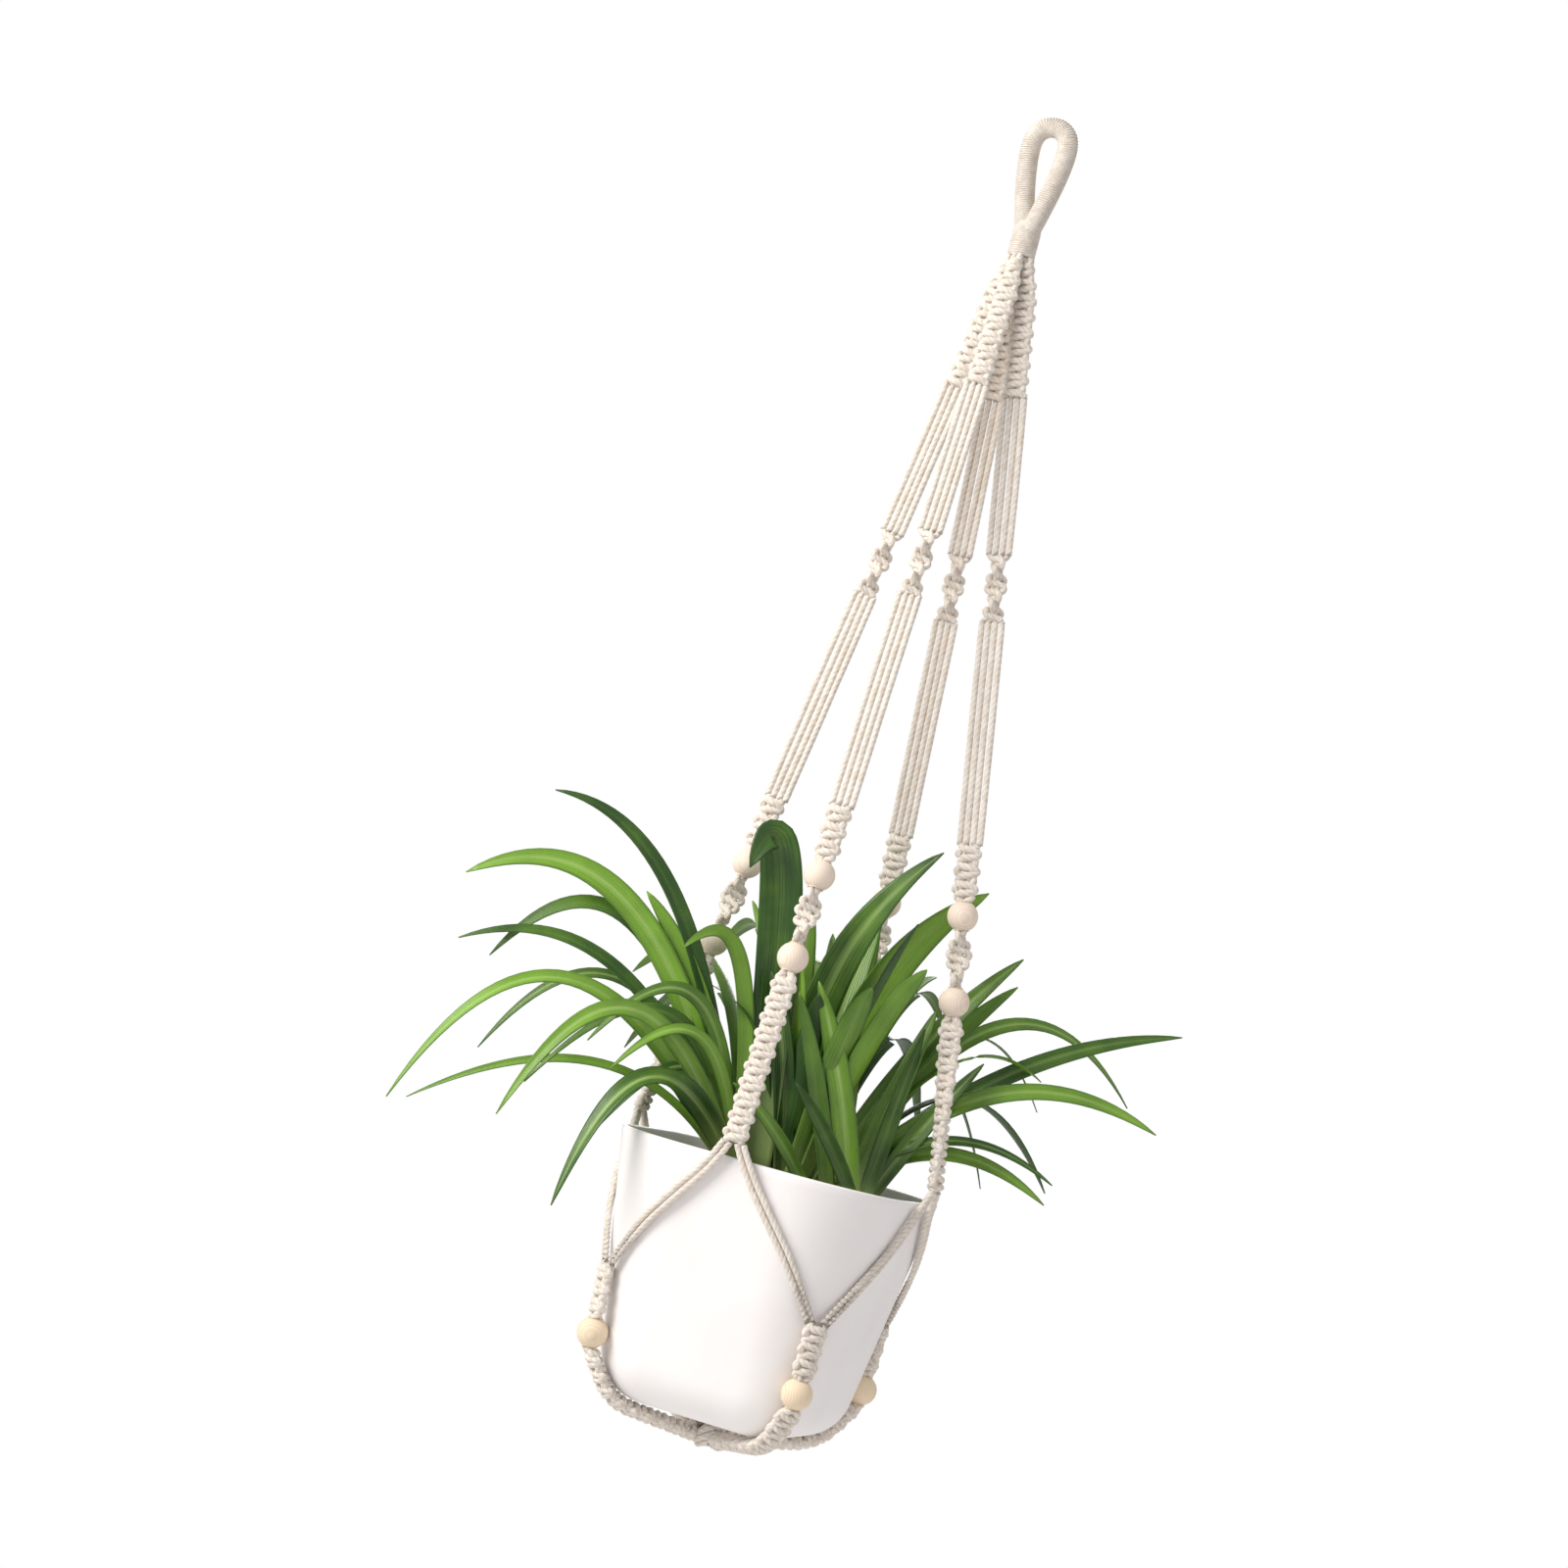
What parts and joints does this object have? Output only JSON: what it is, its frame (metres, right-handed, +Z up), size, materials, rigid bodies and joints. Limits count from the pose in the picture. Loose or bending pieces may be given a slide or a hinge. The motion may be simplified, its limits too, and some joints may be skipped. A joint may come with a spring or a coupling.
{
  "type": "hanging macrame planter",
  "caption": "Knotted cotton hanger with a wrapped loop, four sennit arms with wooden beads and a knotted cradle, holding a square-shouldered white pot with a strap-leaved plant.",
  "frame": {"origin": "top inside of the hanging loop, where the hook bears", "axes": "+Z up along the plumb line, -Y towards the front arm, +X towards the right arm"},
  "size_m": [0.4604, 0.3057, 0.8998],
  "materials": {
    "cotton_cord": "twisted natural cotton, matt and slightly fuzzy",
    "pale_bead": "sanded, unvarnished pale beech",
    "tan_bead": "sanded, unvarnished tan beech",
    "white_pot": "moulded white polypropylene, satin gloss",
    "potting_soil": "loose bark and peat crumbs",
    "leaf": "waxy green leaf with a pale mid stripe"
  },
  "bodies": {
    "hanging_loop": {"hanging_loop": "cotton_cord"},
    "neck": {"neck_wrap": "cotton_cord"},
    "net": {"front_top_sennit": "cotton_cord", "front_upper_cords": "cotton_cord", "front_upper_spiral": "cotton_cord", "front_lower_cords": "cotton_cord", "front_bead_sennit": "cotton_cord", "front_middle_spiral": "cotton_cord", "front_rim_sennit": "cotton_cord", "front_cradle_cords": "cotton_cord", "right_top_sennit": "cotton_cord", "right_upper_cords": "cotton_cord", "right_upper_spiral": "cotton_cord", "right_lower_cords": "cotton_cord", "right_bead_sennit": "cotton_cord", "right_middle_spiral": "cotton_cord", "right_rim_sennit": "cotton_cord", "right_cradle_cords": "cotton_cord", "back_top_sennit": "cotton_cord", "back_upper_cords": "cotton_cord", "back_upper_spiral": "cotton_cord", "back_lower_cords": "cotton_cord", "back_bead_sennit": "cotton_cord", "back_middle_spiral": "cotton_cord", "back_rim_sennit": "cotton_cord", "back_cradle_cords": "cotton_cord", "left_top_sennit": "cotton_cord", "left_upper_cords": "cotton_cord", "left_upper_spiral": "cotton_cord", "left_lower_cords": "cotton_cord", "left_bead_sennit": "cotton_cord", "left_middle_spiral": "cotton_cord", "left_rim_sennit": "cotton_cord", "left_cradle_cords": "cotton_cord", "front_right_corner_sennit": "cotton_cord", "front_right_base_sennit": "cotton_cord", "back_right_corner_sennit": "cotton_cord", "back_right_base_sennit": "cotton_cord", "back_left_corner_sennit": "cotton_cord", "back_left_base_sennit": "cotton_cord", "front_left_corner_sennit": "cotton_cord", "front_left_base_sennit": "cotton_cord", "base_knot": "cotton_cord"},
    "front_upper_bead": {"front_upper_bead": "pale_bead"},
    "front_lower_bead": {"front_lower_bead": "pale_bead"},
    "right_upper_bead": {"right_upper_bead": "pale_bead"},
    "right_lower_bead": {"right_lower_bead": "pale_bead"},
    "back_upper_bead": {"back_upper_bead": "pale_bead"},
    "back_lower_bead": {"back_lower_bead": "pale_bead"},
    "left_upper_bead": {"left_upper_bead": "pale_bead"},
    "left_lower_bead": {"left_lower_bead": "pale_bead"},
    "front_right_corner_bead": {"front_right_corner_bead": "tan_bead"},
    "back_right_corner_bead": {"back_right_corner_bead": "tan_bead"},
    "back_left_corner_bead": {"back_left_corner_bead": "tan_bead"},
    "front_left_corner_bead": {"front_left_corner_bead": "tan_bead"},
    "planted_pot": {"pot": "white_pot", "soil": "potting_soil", "outer_leaves": "leaf", "inner_leaves": "leaf"}
  },
  "joints": [
    {"name": "neck_rock", "type": "hinge", "parent": "hanging_loop", "child": "neck", "pos_m": [0, 0, -0.0665], "axis": [1, 0, 0], "range_deg": [-20, 20]},
    {"name": "neck_twist", "type": "hinge", "parent": "neck", "child": "net", "pos_m": [0, 0, -0.083], "axis": [0, 0, 1], "range_deg": [-180, 180]},
    {"name": "front_upper_bead_turn", "type": "hinge", "parent": "net", "child": "front_upper_bead", "pos_m": [0, -0.07565, -0.51459], "axis": [0, -0.1604, -0.987], "continuous": true},
    {"name": "front_lower_bead_turn", "type": "hinge", "parent": "net", "child": "front_lower_bead", "pos_m": [0, -0.08456, -0.56937], "axis": [0, -0.1604, -0.987], "continuous": true},
    {"name": "right_upper_bead_turn", "type": "hinge", "parent": "net", "child": "right_upper_bead", "pos_m": [0.07565, 0, -0.51459], "axis": [0.1604, 0, -0.987], "continuous": true},
    {"name": "right_lower_bead_turn", "type": "hinge", "parent": "net", "child": "right_lower_bead", "pos_m": [0.08456, 0, -0.56937], "axis": [0.1604, 0, -0.987], "continuous": true},
    {"name": "back_upper_bead_turn", "type": "hinge", "parent": "net", "child": "back_upper_bead", "pos_m": [0, 0.07565, -0.51459], "axis": [0, 0.1604, -0.987], "continuous": true},
    {"name": "back_lower_bead_turn", "type": "hinge", "parent": "net", "child": "back_lower_bead", "pos_m": [0, 0.08456, -0.56937], "axis": [0, 0.1604, -0.987], "continuous": true},
    {"name": "left_upper_bead_turn", "type": "hinge", "parent": "net", "child": "left_upper_bead", "pos_m": [-0.07565, 0, -0.51459], "axis": [-0.1604, 0, -0.987], "continuous": true},
    {"name": "left_lower_bead_turn", "type": "hinge", "parent": "net", "child": "left_lower_bead", "pos_m": [-0.08456, 0, -0.56937], "axis": [-0.1604, 0, -0.987], "continuous": true},
    {"name": "front_right_corner_bead_turn", "type": "hinge", "parent": "net", "child": "front_right_corner_bead", "pos_m": [0.07022, -0.07022, -0.8292], "axis": [-0.0351, 0.0351, -0.9988], "continuous": true},
    {"name": "back_right_corner_bead_turn", "type": "hinge", "parent": "net", "child": "back_right_corner_bead", "pos_m": [0.07022, 0.07022, -0.8292], "axis": [-0.0351, -0.0351, -0.9988], "continuous": true},
    {"name": "back_left_corner_bead_turn", "type": "hinge", "parent": "net", "child": "back_left_corner_bead", "pos_m": [-0.07022, 0.07022, -0.8292], "axis": [0.0351, -0.0351, -0.9988], "continuous": true},
    {"name": "front_left_corner_bead_turn", "type": "hinge", "parent": "net", "child": "front_left_corner_bead", "pos_m": [-0.07022, -0.07022, -0.8292], "axis": [0.0351, 0.0351, -0.9988], "continuous": true},
    {"name": "pot_lift", "type": "slide", "parent": "net", "child": "planted_pot", "axis": [0, 0, 1], "range_m": [0, 0.009]}
  ]
}
